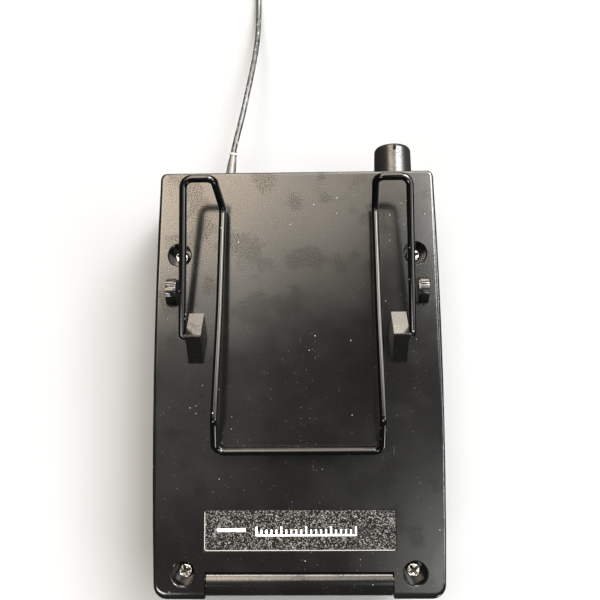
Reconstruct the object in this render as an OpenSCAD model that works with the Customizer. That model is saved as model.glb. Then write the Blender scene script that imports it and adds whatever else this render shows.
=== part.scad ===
// Bodypack radio unit with a wire belt clip, lying on its front face.
// Origin: centre of the front face. +X right, +Y towards the antenna end, +Z out of the back.

/* [Case] */
// Width of the case at its middle
body_w = 65; // [64:0.5:68]
// Length of the case, without the knob
body_l = 95; // [95:0.5:97]
// Depth of the case, from front face to back face
body_d = 24; // [24:0.5:26]
// How far each side bulges outward between its ends
side_bow = 0.9; // [0.5:0.1:1.1]
// Wall thickness of the two case shells
wall = 1.8; // [1.6:0.1:1.9]
// Corner radius at the antenna end
top_corner_r = 1.5; // [1.2:0.1:2]
// Corner radius at the hinge end
foot_corner_r = 3; // [2.5:0.1:3.5]

/* [Belt clip] */
// Diameter of the clip's spring wire
wire_d = 1.7; // [1.5:0.05:1.7]
// Distance from the centre line to the outer legs at the pivot
leg_x = 25.5; // [25.5:0.1:25.8]
// Height of the clip's top bar above the back face
top_bar_h = 12; // [10:0.5:13]
// Height of the clip's bottom bar above the back face
tip_h = 2.3; // [2:0.1:3]
// How far the clip's inner frame sits off the centre line at its upper end
clip_lean = 0.55; // [0:0.05:0.6]

/* [Controls] */
// Diameter of the knob at its base
knob_d = 9.4; // [9.2:0.1:9.6]
// How far the knob stands out of the top end
knob_h = 9.8; // [9:0.1:12]
// Sideways position of the knob
knob_x = 23.8; // [22.5:0.1:23.8]
// Radius of the bore in the audio socket
jack_bore_r = 1.8; // [1.75:0.01:1.85]

/* [Antenna] */
// Diameter of the flexible antenna wire
antenna_d = 1.4; // [1.2:0.1:1.5]
// Sideways position of the antenna's fitting
antenna_x = -17; // [-17.5:0.1:-16.5]

/* [Battery] */
// Diameter of one AA cell
cell_d = 14.2; // [13.8:0.1:14.2]
// Half the distance between the two cells' axes
cell_x = 7.6; // [7.4:0.05:7.7]

/* [Hidden] */

$fn = 48;
eps = 0.05;                         // overshoot of a cut past a face
gap = 0.2;                          // clearance around parts that drop into openings

half_w = body_w / 2;
half_l = body_l / 2;
mid_z = body_d / 2;                 // height of the top end's parts
split_z = mid_z;                    // parting plane of the shells
seam = 0.05;                        // half the gap at the parting plane
seam_bevel = 0.2;
back_round = 0.8;                   // edge rounding of the back face
front_round = 1.5;                  // edge rounding of the front face
foot_round = 1.8;                   // rounding of the back face's foot edge
round_steps = 5;
side_steps = 8;
corner_steps = 5;

// Case screws, in deep wells in the back face
upper_screw = [26.9, 28];
lower_screw = [25.1, -42.1];
screw_spots = [upper_screw, [-upper_screw[0], upper_screw[1]],
               lower_screw, [-lower_screw[0], lower_screw[1]]];
well_r = 2.5;
well_z = body_d - 4;                // floor of a well
well_chamfer = 0.3;
boss_r = 3.8;
screw_r = 1;
screw_head_r = 1.6;
screw_head_h = 1.3;
screw_tip_z = 5;

// Hinge end: the door's barrel sits in a notch between two ears
door_half_w = 20.3;
notch_half_w = 20.5;
notch_y = -41.7;
hinge_y = -44.2;
hinge_z = body_d - 3.5;
barrel_r = 3.3;
barrel_room_r = 3.65;
pin_r = 0.8;
pin_end_x = 22;
ear_in_x = 22.4;                    // inner wall of the ear, from the notch to here

// Battery door
door_top_y = 8;
door_z0 = 0.25;
door_t = 1.5;
door_z1 = door_z0 + door_t;
door_end_y = -47.3;
door_end_t = 1.6;

// Clip
wire_r = wire_d / 2;
pivot_y = 9.1;
pivot_z = body_d + 2.8;
block_x0 = 21.1;
block_x1 = 24.5;
block_top = 4.7;                    // ridge height above the back
pivot_play = 0.04;
pin_shoulder = 0.9;                 // from the end of a pivot pin to the leg's centre line

// Lugs beside the clip's legs
lug_x0 = 27;
lug_x1 = 29.2;
lug_y = 19.4;
lug_l = 5.8;
lug_h = 4.2;

// Label
label_x = 0.2;
label_y = -33;
label_l = 41.6;
label_h = 8.5;
label_t = 0.47;
label_z = body_d - 0.35;

// Top end
panel_y0 = 45.4;
panel_y1 = 47.1;
panel_half_w = 29;
panel_z0 = 2.2;
panel_z1 = body_d - 2.2;
jack_x = 3;
led_x = -6.5;
jack_r = 3;
jack_end_y = 49;
bushing_r = 2.5;
bushing_end_y = 49.4;
shaft_r = 1.5;
shaft_play = 0.03;
ferrule_r = 2.1;
ferrule_end_y = 48.2;
boot_l = 7.8;
boot_base_r = 1.3;
boot_end_r = 0.85;

// Board
board_z = 5.6;
board_t = 1.2;
board_top = board_z + board_t;
board_y0 = 11.4;
board_y1 = 44.6;
board_half_w = 28.5;

// Keys and window on the front face
key_y = 19;
key_pitch = 9;
key_w = 6.5;
key_l = 3.8;
window_y = 33;
window_w = 28;
window_l = 14;

// Cells
cell_z = 9.9;
cell_y0 = -43;
cell_y1 = 6.2;
nub_r = 2.65;
nub_h = 1;

// Route of the antenna wire's centre line, from its boot to its tip
antenna_route = [
    [-16.1, 56.2, mid_z], [-15.95, 57.4, 12], [-15.5, 59.4, 11.95], [-14.9, 62, 11.8],
    [-14.2, 65.2, 11.5], [-13.5, 68.8, 10.9], [-12.85, 72.8, 10.1], [-12.2, 76.9, 9],
    [-11.6, 81.3, 7.6], [-11.1, 85.8, 6], [-10.75, 90.3, 4.3], [-10.6, 95, 2.75],
    [-10.55, 99.5, 1.55], [-10.6, 104, 0.95], [-10.7, 108.5, 0.73], [-11, 113, 0.72],
    [-11.5, 117.5, 0.72], [-12.2, 122, 0.72], [-13.1, 126.5, 0.72], [-14.1, 131, 0.72],
    [-15.2, 135.5, 0.72], [-16.4, 139.9, 0.72], [-17.6, 144.3, 0.72], [-18.9, 148.7, 0.72],
    [-20.2, 153.1, 0.72], [-21.5, 157.5, 0.72]
];
tip_l = 5;
tip_r = 0.72;

black = [0.07, 0.07, 0.075];
dark = [0.12, 0.12, 0.125];
steel = [0.72, 0.73, 0.75];
gold = [0.82, 0.68, 0.36];
board_green = [0.07, 0.3, 0.16];

// ---------- outlines ----------

function arc(cx, cy, r, a0, a1, steps) =
    [for (i = [0:steps]) let (a = a0 + (a1 - a0) * i / steps) [cx + r * cos(a), cy + r * sin(a)]];

// Half the case's width at height y, pulled in by inset
function side_at(y, inset) = half_w - side_bow * pow(y / half_l, 2) - inset;

// One long side from y0 to y1, on the side given by s
function side_run(s, y0, y1, inset) =
    [for (i = [1:side_steps - 1]) let (y = y0 + (y1 - y0) * i / side_steps) [s * side_at(y, inset), y]];

// The case's outline, pulled in by inset, and by foot at the hinge end
function case_outline(inset, foot) =
    let (
        rt = max(top_corner_r - inset, 0.4),
        rf = max(foot_corner_r - inset, 0.4),
        yt = half_l - inset - rt,
        yf = -half_l + foot + rf,
        xt = side_at(yt, inset) - rt,
        xf = side_at(yf, inset) - rf
    )
    concat(
        side_run(1, yf, yt, inset),
        arc(xt, yt, rt, 0, 90, corner_steps),
        arc(-xt, yt, rt, 90, 180, corner_steps),
        side_run(-1, yt, yf, inset),
        arc(-xf, yf, rf, 180, 270, corner_steps),
        arc(xf, yf, rf, 270, 360, corner_steps)
    );

// A solid skinned over the case's outline at several levels, each [height, inset, foot inset]
module skinned(levels) {
    n = len(case_outline(0, 0));
    top = len(levels) - 1;
    points = [for (l = levels) for (p = case_outline(l[1], l[2])) [p[0], p[1], l[0]]];
    sides = [for (i = [0:top - 1]) for (k = [0:n - 1]) let (q = (k + 1) % n)
        [i * n + k, (i + 1) * n + k, (i + 1) * n + q, i * n + q]];
    bottom_cap = [for (k = [0:n - 1]) k];
    top_cap = [for (k = [n - 1:-1:0]) top * n + k];
    polyhedron(points = points, faces = concat(sides, [bottom_cap, top_cap]), convexity = 4);
}

// ---------- sweeps ----------

function unit(v) = v / norm(v);

// Points on the fillet of radius r at corner b, coming from a and going to c
function fillet_points(a, b, c, r, steps) =
    let (
        u = unit(b - a),
        v = unit(c - b),
        turn = acos(u * v),
        n = unit(v - (u * v) * u),
        start = b - u * r * tan(turn / 2),
        centre = start + n * r
    )
    [for (i = [0:steps]) let (t = turn * i / steps) centre + r * (sin(t) * u - cos(t) * n)];

// A polyline with each inner corner rounded by its own radius
function rounded_path(points, radii, steps) = concat(
    [points[0]],
    [for (i = [1:len(points) - 2])
        for (p = fillet_points(points[i - 1], points[i], points[i + 1], radii[i - 1], steps)) p],
    [points[len(points) - 1]]
);

function tangent(path, i) =
    unit(path[min(i + 1, len(path) - 1)] - path[max(i - 1, 0)]);

// Carries a normal along the path without twist
function carried(path, n, i = 0) =
    i == len(path) ? [] :
    let (t = tangent(path, i), m = unit(n - (n * t) * t))
    concat([m], carried(path, m, i + 1));

// A round tube of radius r along a path, with flat ends
module tube(path, r, sides, first_normal) {
    normals = carried(path, first_normal);
    rings = len(path);
    points = [for (i = [0:rings - 1]) let (t = tangent(path, i), n = normals[i], b = cross(t, n))
        for (k = [0:sides - 1]) let (a = 360 * k / sides)
            path[i] + r * (cos(a) * n + sin(a) * b)];
    skin = [for (i = [0:rings - 2]) for (k = [0:sides - 1]) let (q = (k + 1) % sides)
        [i * sides + k, (i + 1) * sides + k, (i + 1) * sides + q, i * sides + q]];
    first_cap = [for (k = [0:sides - 1]) k];
    last_cap = [for (k = [sides - 1:-1:0]) (rings - 1) * sides + k];
    polyhedron(points = points, faces = concat(skin, [first_cap, last_cap]), convexity = 6);
}

function helix(x, z, y0, y1, r, turns, steps) =
    [for (i = [0:turns * steps]) let (a = 360 * i / steps)
        [x + r * cos(a), y0 + (y1 - y0) * i / (turns * steps), z + r * sin(a)]];

// ---------- simple solids ----------

module box(lo, hi) {
    translate(lo)
        cube(hi - lo);
}

module rod_x(x0, x1, y, z, r) {
    translate([x0, y, z])
        rotate([0, 90, 0])
            cylinder(h = x1 - x0, r = r);
}

module rod_y(x, y0, y1, z, r) {
    translate([x, y0, z])
        rotate([-90, 0, 0])
            cylinder(h = y1 - y0, r = r);
}

module rod_z(x, y, z0, z1, r) {
    translate([x, y, z0])
        cylinder(h = z1 - z0, r = r);
}

// A plate with rounded corners, from z0 to z1
module round_plate(x, y, w, l, r, z0, z1) {
    ax = w / 2 - r;
    ay = l / 2 - r;
    translate([x, y, z0])
        linear_extrude(height = z1 - z0)
            polygon(concat(
                arc(ax, ay, r, 0, 90, corner_steps), arc(-ax, ay, r, 90, 180, corner_steps),
                arc(-ax, -ay, r, 180, 270, corner_steps), arc(ax, -ay, r, 270, 360, corner_steps)
            ));
}

module both_sides() {
    children();
    mirror([1, 0, 0])
        children();
}

// ---------- case ----------

module back_skin() {
    skinned(concat(
        [[split_z + seam, seam_bevel, seam_bevel], [split_z + seam + seam_bevel, 0, 0]],
        [for (i = [0:round_steps]) let (a = 90 * i / round_steps)
            [body_d - back_round * (1 - sin(a)), back_round * (1 - cos(a)), foot_round * (1 - cos(a))]]
    ));
}

module front_skin() {
    skinned(concat(
        [for (i = [round_steps:-1:0]) let (a = 90 * i / round_steps, r = front_round * (1 - cos(a)))
            [front_round * (1 - sin(a)), r, r]],
        [[split_z - seam - seam_bevel, 0, 0], [split_z - seam, seam_bevel, seam_bevel]]
    ));
}

// Space inside the walls between two heights
module cavity(z0, z1) {
    translate([0, 0, z0])
        linear_extrude(height = z1 - z0)
            polygon(case_outline(wall, wall));
}

// A roof-shaped block that holds one end of the clip, with its ridge over the pivot
module pivot_block() {
    translate([block_x0, 0, body_d])
        rotate([90, 0, 90])
            linear_extrude(height = block_x1 - block_x0)
                polygon([
                    [pivot_y + 5.5, -0.3], [pivot_y + 5.5, 0], [pivot_y + 0.3, block_top],
                    [pivot_y - 0.1, block_top], [pivot_y - 5.8, 0.2], [pivot_y - 5.8, -0.3]
                ]);
}

// A half-round lug with two grooves that run across its rim, and a step round its inner end
module ribbed_lug() {
    lug_r = (lug_h * lug_h + lug_l * lug_l / 4) / (2 * lug_h);
    axis_z = body_d + lug_h - lug_r;
    groove_w = 0.36;
    groove_depth = 0.35;
    groove_angle = 17;
    step_w = 0.5;
    difference() {
        union() {
            rod_x(lug_x0 + step_w - eps, lug_x1, lug_y, axis_z, lug_r);
            rod_x(lug_x0, lug_x0 + step_w, lug_y, axis_z, lug_r - 0.3);
        }
        box([lug_x0 - eps, lug_y - 9, body_d - 9], [lug_x1 + eps, lug_y + 9, body_d - 0.3]);
        for (a = [-groove_angle, groove_angle])
            translate([0, lug_y, axis_z])
                rotate([a, 0, 0])
                    box([lug_x0 - eps, -groove_w / 2, lug_r - groove_depth],
                        [lug_x1 + eps, groove_w / 2, lug_r + 1]);
    }
}

module top_end_opening() {
    box([-panel_half_w - gap, panel_y0 - 1, panel_z0 - gap],
        [panel_half_w + gap, half_l + 1, panel_z1 + gap]);
}

module back_case() {
    color(black)
        difference() {
            union() {
                difference() {
                    back_skin();
                    cavity(split_z - 1, body_d - 2);
                    top_end_opening();
                }
                for (p = screw_spots)
                    rod_z(p[0], p[1], split_z + seam, body_d - 1, boss_r);
                both_sides() {
                    box([notch_half_w, -46, split_z + seam], [ear_in_x, -40, body_d - 1]);
                    pivot_block();
                    ribbed_lug();
                }
            }
            box([-notch_half_w, -half_l - 1, split_z - 1], [notch_half_w, notch_y, body_d + 1]);
            rod_x(-notch_half_w, notch_half_w, hinge_y, hinge_z, barrel_room_r);
            rod_x(-pin_end_x - 0.1, pin_end_x + 0.1, hinge_y, hinge_z, pin_r + pivot_play);
            both_sides()
                rod_x(block_x0 + 0.5, block_x1 + 1, pivot_y, pivot_z, wire_r + pivot_play);
            for (p = screw_spots) {
                rod_z(p[0], p[1], well_z, body_d + 1, well_r);
                translate([p[0], p[1], body_d - well_chamfer])
                    cylinder(h = well_chamfer + eps, r1 = well_r, r2 = well_r + well_chamfer + eps);
                rod_z(p[0], p[1], split_z - 1, well_z + 1, screw_r + 0.15);
            }
            box([label_x - label_l / 2 - gap, label_y - label_h / 2 - gap, body_d - 0.4],
                [label_x + label_l / 2 + gap, label_y + label_h / 2 + gap, body_d + 1]);
        }
}

module front_case() {
    rail_x = 22;
    color(black)
        difference() {
            union() {
                difference() {
                    front_skin();
                    cavity(wall, split_z + 1);
                    top_end_opening();
                }
                for (p = screw_spots)
                    rod_z(p[0], p[1], 1, split_z - seam, boss_r);
                both_sides()
                    box([notch_half_w, -46, 1], [rail_x, door_top_y + 2, split_z - seam]);
            }
            box([-notch_half_w, -half_l - 1, -1], [notch_half_w, -half_l + wall + 1, split_z + 1]);
            box([-notch_half_w, -half_l - 1, -1], [notch_half_w, door_top_y + gap, wall + eps]);
            for (p = screw_spots)
                rod_z(p[0], p[1], screw_tip_z - 0.5, split_z + 1, screw_r + 0.02);
            for (i = [-1:1])
                round_plate(i * key_pitch, key_y, key_w + 2 * gap, key_l + 2 * gap, 1, -1, wall + 1);
            round_plate(0, window_y, window_w + 0.3, window_l + 0.3, 1.2, -1, 1.4);
            round_plate(0, window_y, window_w - 3, window_l - 3, 0.8, -1, wall + 1);
        }
}

module top_panel() {
    color(dark)
        difference() {
            rotate([90, 0, 0])
                round_plate(0, mid_z, 2 * panel_half_w, panel_z1 - panel_z0, 0.8, -panel_y1, -panel_y0);
            rod_y(knob_x, panel_y0 - 1, panel_y1 + 1, mid_z, bushing_r + gap);
            rod_y(jack_x, panel_y0 - 1, panel_y1 + 1, mid_z, jack_r + gap);
            rod_y(led_x, panel_y0 - 1, panel_y1 + 1, mid_z, 1.1);
            rod_y(antenna_x, panel_y0 - 1, panel_y1 + 1, mid_z, 1.6);
        }
}

// One pan-head screw with a cross recess
module case_screw(spot) {
    recess_w = 0.6;
    recess_l = 2.3;
    translate([spot[0], spot[1], well_z])
        difference() {
            union() {
                translate([0, 0, screw_tip_z - well_z])
                    cylinder(h = well_z - screw_tip_z + 0.2, r = screw_r);
                rotate_extrude()
                    polygon(concat([[0, 0]], [[screw_head_r, 0]],
                        arc(screw_head_r - 0.4, screw_head_h - 0.4, 0.4, 0, 90, 4), [[0, screw_head_h]]));
            }
            for (a = [20, 110])
                rotate([0, 0, a])
                    box([-recess_l / 2, -recess_w / 2, screw_head_h - 0.8],
                        [recess_l / 2, recess_w / 2, screw_head_h + 1]);
        }
}

module case_screws() {
    color(steel)
        for (p = screw_spots)
            case_screw(p);
}

module label_plate() {
    color(dark)
        round_plate(label_x, label_y, label_l, label_h, 0.5, label_z, label_z + label_t);
}

// ---------- belt clip ----------

// Corners of the wire's right half, from the pivot pin to the bottom bar: x, y, z and sideways lean
clip_corners = [
    [leg_x - pin_shoulder - 0.3, pivot_y, pivot_z, 0],
    [leg_x, pivot_y, pivot_z, 0],
    [24.1, 42.3, body_d + top_bar_h, clip_lean / 3],
    [17.3, 42.3, body_d + top_bar_h, -clip_lean / 3],
    [17.1, 37.9, body_d + 3.5, clip_lean],
    [17.35, 14, body_d + 5.2, clip_lean * 0.8],
    [17.95, -9, body_d + 7, clip_lean * 0.45],
    [18.3, -15.9, body_d + tip_h, clip_lean * 0.2],
    [0, -15.9, body_d + tip_h, 0]
];
clip_bends = [0.88, 2, 1.7, 2, 400, 2.5, 2];
bend_steps = 7;

// One half of the wire's centre line. side is +1 for the right half and -1 for the left
function clip_half(side) =
    rounded_path([for (c = clip_corners) [side * c[0] + c[3], c[1], c[2]]], clip_bends, bend_steps);

module belt_clip() {
    right = clip_half(1);
    left = clip_half(-1);
    path = concat(right, [for (i = [len(left) - 2:-1:0]) left[i]]);
    pin_in_x = block_x0 + 0.7;
    color(black) {
        tube(path, wire_r - 0.02, 12, [0, 0, 1]);
        both_sides()
            rod_x(pin_in_x, leg_x - pin_shoulder, pivot_y, pivot_z, wire_r);
    }
}

// ---------- battery door ----------

module battery_door() {
    outer_r = 1.5;
    latch_y0 = -1.2;
    color(black)
        difference() {
            union() {
                translate([-door_half_w, 0, 0])
                    rotate([90, 0, 90])
                        linear_extrude(height = 2 * door_half_w)
                            polygon(concat(
                                [[door_top_y, door_z0], [door_top_y, door_z1]],
                                [[door_end_y + door_end_t, door_z1], [door_end_y + door_end_t, hinge_z]],
                                [[door_end_y, hinge_z]],
                                arc(door_end_y + outer_r, door_z0 + outer_r, outer_r, 180, 270, 6)
                            ));
                rod_x(-door_half_w, door_half_w, hinge_y, hinge_z, barrel_r);
            }
            rod_x(-door_half_w - 1, door_half_w + 1, hinge_y, hinge_z, pin_r + 0.02);
            // recess for the latch's thumb piece, and the slot for its stem
            box([-6.2, latch_y0, door_z0 - 1], [6.2, door_top_y + 1, door_z0 + 0.95]);
            box([-2.2, 1.6, door_z0 - 1], [2.2, 7, door_z1 + 1]);
        }
}

module hinge_pin() {
    color(steel)
        rod_x(-pin_end_x, pin_end_x, hinge_y, hinge_z, pin_r);
}

// Thumb slide with a stem through the door and a tongue behind it
module door_latch() {
    slide_y0 = 1.2;
    ridge_pitch = 0.9;
    color(dark) {
        box([-5.8, slide_y0, door_z0 + 0.1], [5.8, door_top_y - 0.1, door_z0 + 0.85]);
        box([-2, 4, door_z0 + 0.5], [2, 6.8, door_z1 + 0.2]);
        box([-3, 3.4, door_z1 + 0.1], [3, door_top_y - 0.1, door_z1 + 0.8]);
        for (i = [0:4])
            box([-4.5, slide_y0 + 1 + i * ridge_pitch, door_z0 - 0.05],
                [4.5, slide_y0 + 1.4 + i * ridge_pitch, door_z0 + 0.2]);
    }
}

module door_pad() {
    color([0.2, 0.2, 0.21])
        round_plate(0, -20, 20, 22, 2, door_z1, door_z1 + 0.8);
}

// Contact strip across both cells on the door's end wall
module link_contact() {
    y0 = door_end_y + door_end_t;
    color(steel) {
        round_strip(y0, y0 + 0.3);
        rod_y(-cell_x, y0 + 0.2, cell_y0 - nub_h - 0.15, cell_z, 2);
    }
}

module round_strip(y0, y1) {
    rotate([90, 0, 0])
        round_plate(0, cell_z, 24, 7, 1.5, -y1, -y0);
}

module link_spring() {
    y0 = door_end_y + door_end_t + 0.3;
    color(steel)
        tube(helix(cell_x, cell_z, y0 + 0.35, cell_y0 - 0.45, 2.6, 2, 16), 0.3, 6, [1, 0, 0]);
}

// ---------- battery bay ----------

module battery_tray() {
    floor_z = cell_z + cell_d / 2 + 0.3;
    side_x = 16;
    tray_y0 = -39.8;
    tray_y1 = 10.2;
    color(dark)
        difference() {
            union() {
                box([-side_x, tray_y0, floor_z], [side_x, tray_y1, floor_z + 1]);
                both_sides()
                    box([side_x - 1, tray_y0, 6], [side_x, tray_y1, floor_z + 1]);
                box([-side_x, tray_y1 - 1.2, 3.2], [side_x, tray_y1, floor_z + 1]);
                box([-0.3, tray_y0, 14.5], [0.3, tray_y1, floor_z + 1]);
            }
            both_sides()
                for (y = [-32:12:4])
                    box([cell_x - 3, y - 3, floor_z - 1], [cell_x + 3, y + 3, floor_z + 2]);
        }
}

// One AA cell. way is +1 with its nub towards the antenna end
module battery_cell(x, way) {
    edge_r = 0.7;
    end_y = way > 0 ? cell_y1 : cell_y0;
    r = cell_d / 2;
    body_len = cell_y1 - cell_y0;
    translate([x, (cell_y0 + cell_y1) / 2, cell_z])
        rotate([-90 * way, 0, 0]) {
            rotate_extrude()
                polygon(concat(
                    [[0, -body_len / 2]],
                    arc(r - edge_r, -body_len / 2 + edge_r, edge_r, 270, 360, 4),
                    arc(r - edge_r, body_len / 2 - edge_r, edge_r, 0, 90, 4),
                    [[0, body_len / 2]]
                ));
            translate([0, 0, body_len / 2 - 0.2])
                cylinder(h = nub_h + 0.2, r = nub_r);
        }
}

module battery_cell_left() {
    color([0.2, 0.22, 0.25])
        battery_cell(-cell_x, -1);
}

module battery_cell_right() {
    color([0.2, 0.22, 0.25])
        battery_cell(cell_x, 1);
}

// Two contact plates on the tray's end wall
module tray_contacts() {
    color(gold)
        both_sides()
            box([cell_x - 4, 8.65, cell_z - 4], [cell_x + 4, 8.95, cell_z + 4]);
    color(gold)
        rod_y(cell_x, cell_y1 + nub_h + 0.15, 8.8, cell_z, 1.8);
}

module tray_spring() {
    color(steel)
        tube(helix(-cell_x, cell_z, cell_y1 + 0.45, 8.3, 2.6, 2, 16), 0.3, 6, [1, 0, 0]);
}

module battery_wires() {
    color([0.55, 0.08, 0.08])
        for (x = [cell_x, -cell_x])
            tube([[x, 10.3, 12], [x, 11.3, 12], [x, 12.4, 11.5], [x, 13, 10.6], [x, 13.2, 9.5],
                  [x, 13.2, board_top + 0.05]], 0.5, 8, [1, 0, 0]);
}

// ---------- electronics ----------

module main_board() {
    color(board_green)
        difference() {
            box([-board_half_w, board_y0, board_z], [board_half_w, board_y1, board_top]);
            both_sides() {
                rod_z(upper_screw[0], upper_screw[1], board_z - 1, board_top + 1, boss_r + 0.4);
                rod_z(24, 14.5, board_z - 1, board_top + 1, 1.1);
            }
        }
}

// Two screws that hold the board down at its lower corners
module board_screws() {
    color(steel)
        both_sides() {
            rod_z(24, 14.5, 3, board_top + 0.1, 1);
            rod_z(24, 14.5, board_top + 0.05, board_top + 1, 1.7);
        }
}

module rf_shield() {
    color(steel)
        difference() {
            round_plate(-13.5, 29, 17, 19, 0.8, board_top + 0.05, board_top + 3);
            round_plate(-13.5, 29, 16, 18, 0.5, board_top, board_top + 2.6);
        }
}

module board_chips() {
    color(dark) {
        box([7, 15, board_top + 0.05], [13, 21, board_top + 1]);
        box([15, 16, board_top + 0.05], [19, 20, board_top + 1.1]);
        for (i = [0:4])
            box([8 + 2.4 * i, 24, board_top + 0.05], [9.2 + 2.4 * i, 26.2, board_top + 0.9]);
        for (i = [0:1])
            rod_z(10 + 6 * i, 30.5, board_top + 0.05, board_top + 5, 2.2);
    }
}

module lcd_module() {
    color([0.35, 0.38, 0.36])
        box([-window_w / 2, window_y - 7.4, 2], [window_w / 2, window_y + 7.4, board_z - 0.1]);
}

module lcd_window() {
    color([0.1, 0.12, 0.12])
        round_plate(0, window_y, window_w, window_l, 1.1, 0.3, 1.35);
}

// One key cap with the flange that keeps it behind the front wall
module key_cap(x) {
    color(dark) {
        round_plate(x, key_y, key_w, key_l, 0.9, 0.3, wall + 0.2);
        round_plate(x, key_y, key_w + 1.2, key_l + 1.2, 0.9, wall + 0.1, wall + 0.6);
        rod_z(x, key_y, wall + 0.5, 2.85, 1.2);
    }
}

module key_down() {
    key_cap(-key_pitch);
}

module key_set() {
    key_cap(0);
}

module key_up() {
    key_cap(key_pitch);
}

module key_switches() {
    color(steel)
        for (i = [-1:1]) {
            box([i * key_pitch - 2, key_y - 1.5, 3.7], [i * key_pitch + 2, key_y + 1.5, board_z - 0.05]);
            rod_z(i * key_pitch, key_y, 3.3, 3.8, 1);
        }
}

// ---------- top end ----------

module potentiometer_body() {
    can = 4.8;
    color(steel)
        difference() {
            union() {
                box([knob_x - can, 38.5, mid_z - can], [knob_x + can, 45.2, mid_z + can]);
                rod_y(knob_x, 45, bushing_end_y, mid_z, bushing_r);
            }
            rod_y(knob_x, 40, bushing_end_y + 1, mid_z, shaft_r + shaft_play);
        }
}

module potentiometer_shaft() {
    color(steel)
        rod_y(knob_x, 40.5, half_l + knob_h - 2.6, mid_z, shaft_r);
}

module potentiometer_washer() {
    color(steel)
        difference() {
            rod_y(knob_x, panel_y1 + 0.02, panel_y1 + 0.4, mid_z, 3.6);
            rod_y(knob_x, panel_y1 - 1, panel_y1 + 1, mid_z, bushing_r + 0.05);
        }
}

module potentiometer_nut() {
    across_corners_r = 3.65;
    color(steel)
        difference() {
            translate([knob_x, panel_y1 + 0.42, mid_z])
                rotate([-90, 0, 0])
                    cylinder(h = 1.5, r = across_corners_r, $fn = 6);
            rod_y(knob_x, panel_y1, panel_y1 + 3, mid_z, bushing_r + 0.02);
        }
}

module volume_knob() {
    base_y = half_l + 0.4;
    top_y = half_l + knob_h;
    base_r = knob_d / 2;
    top_r = base_r - 0.22;
    rim_r = 1.3;
    dome = 0.25;
    skirt_r = 3.98;
    skirt_end = 49.7;
    color(black)
        translate([knob_x, 0, mid_z])
            difference() {
                rotate([-90, 0, 0])
                    rotate_extrude($fn = 96)
                        polygon(concat(
                            [[0, base_y], [base_r - 0.2, base_y], [base_r, base_y + 0.2]],
                            arc(top_r - rim_r, top_y - dome - rim_r, rim_r, 0, 80, 6),
                            [[top_r * 0.45, top_y - 0.06], [0, top_y]]
                        ));
                rod_y(0, base_y - 1, skirt_end, 0, skirt_r);
                rod_y(0, base_y - 1, half_l + knob_h - 2.5, 0, shaft_r + 0.01);
                // pointer groove, on the side and across the rim towards the back
                rotate([0, 45, 0])
                    box([base_r * 0.707 - 0.42, base_y + 1, base_r * 0.707 - 0.42], [base_r, top_y + 1, base_r]);
                translate([0, top_y, base_r])
                    rotate([0, 45, 0])
                        box([-0.45, -2.2, -0.45], [0.45, 1, 0.45]);
            }
}

module jack_body() {
    color(dark)
        difference() {
            union() {
                box([jack_x - 4, 33.5, mid_z - 3.8], [jack_x + 4, 45.2, mid_z + 3.8]);
                rod_y(jack_x, 45, jack_end_y, mid_z, jack_r);
            }
            rod_y(jack_x, jack_end_y - 14, jack_end_y + 1, mid_z, jack_bore_r);
        }
}

module jack_nut() {
    nut_r = 4.2;
    nut_t = 1.4;
    color(steel)
        difference() {
            rod_y(jack_x, panel_y1 + 0.02, panel_y1 + nut_t, mid_z, nut_r);
            rod_y(jack_x, panel_y1 - 1, panel_y1 + 3, mid_z, jack_r + 0.02);
            for (a = [0:30:150])
                translate([jack_x, panel_y1 + nut_t, mid_z])
                    rotate([0, a, 0])
                        box([-nut_r - 1, -0.4, -0.35], [nut_r + 1, 1, 0.35]);
        }
}

module status_led() {
    color([0.75, 0.9, 0.75]) {
        rod_y(led_x, 44, panel_y0 - 0.05, mid_z, 1.6);
        rod_y(led_x, 45, panel_y1 + 0.2, mid_z, 1);
        translate([led_x, panel_y1 + 0.2, mid_z])
            sphere(r = 1);
    }
}

module antenna_ferrule() {
    color(dark)
        difference() {
            union() {
                rod_y(antenna_x, panel_y1 + 0.02, ferrule_end_y, mid_z, ferrule_r);
                rod_y(antenna_x, panel_y0 - 0.5, panel_y1 + 0.5, mid_z, 1.5);
            }
            rod_y(antenna_x, 43, ferrule_end_y + 1, mid_z, 0.4);
        }
}

// Tapered sleeve around the foot of the antenna, in line with its first stretch, with a bead at its end
module antenna_boot() {
    way = antenna_route[1] - antenna_route[0];
    color(dark)
        translate(antenna_route[0])
            rotate([0, 0, -atan2(way[0], way[1])])
                rotate([-90, 0, 0])
                    rotate_extrude()
                        polygon([
                            [0, -boot_l], [boot_base_r, -boot_l], [boot_base_r, -boot_l + 2],
                            [boot_end_r + 0.15, -2], [boot_end_r, -0.75],
                            [boot_end_r + 0.1, -0.6], [boot_end_r + 0.1, -0.15], [boot_end_r - 0.05, 0], [0, 0]
                        ]);
}

// Bent strip that joins the ferrule's inner end to the board
module antenna_lug() {
    strip_w = 2;
    color(gold) {
        box([antenna_x - strip_w / 2, 42.2, mid_z - 0.2], [antenna_x + strip_w / 2, 44.8, mid_z + 0.2]);
        box([antenna_x - strip_w / 2, 42.2, board_top + 0.05], [antenna_x + strip_w / 2, 42.6, mid_z]);
    }
}

module antenna() {
    color(dark)
        tube(antenna_route, antenna_d / 2, 8, [0, 0, 1]);
}

module antenna_tip() {
    last = len(antenna_route) - 1;
    way = unit(antenna_route[last] - antenna_route[last - 1]);
    color(dark)
        translate(antenna_route[last])
            rotate([0, 0, atan2(way[1], way[0])])
                rotate([0, 90, 0])
                    rotate_extrude()
                        polygon(concat([[0, 0], [tip_r - 0.06, 0], [tip_r, 0.3]],
                            arc(0, tip_l - tip_r, tip_r, 0, 90, 6)));
}

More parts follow.
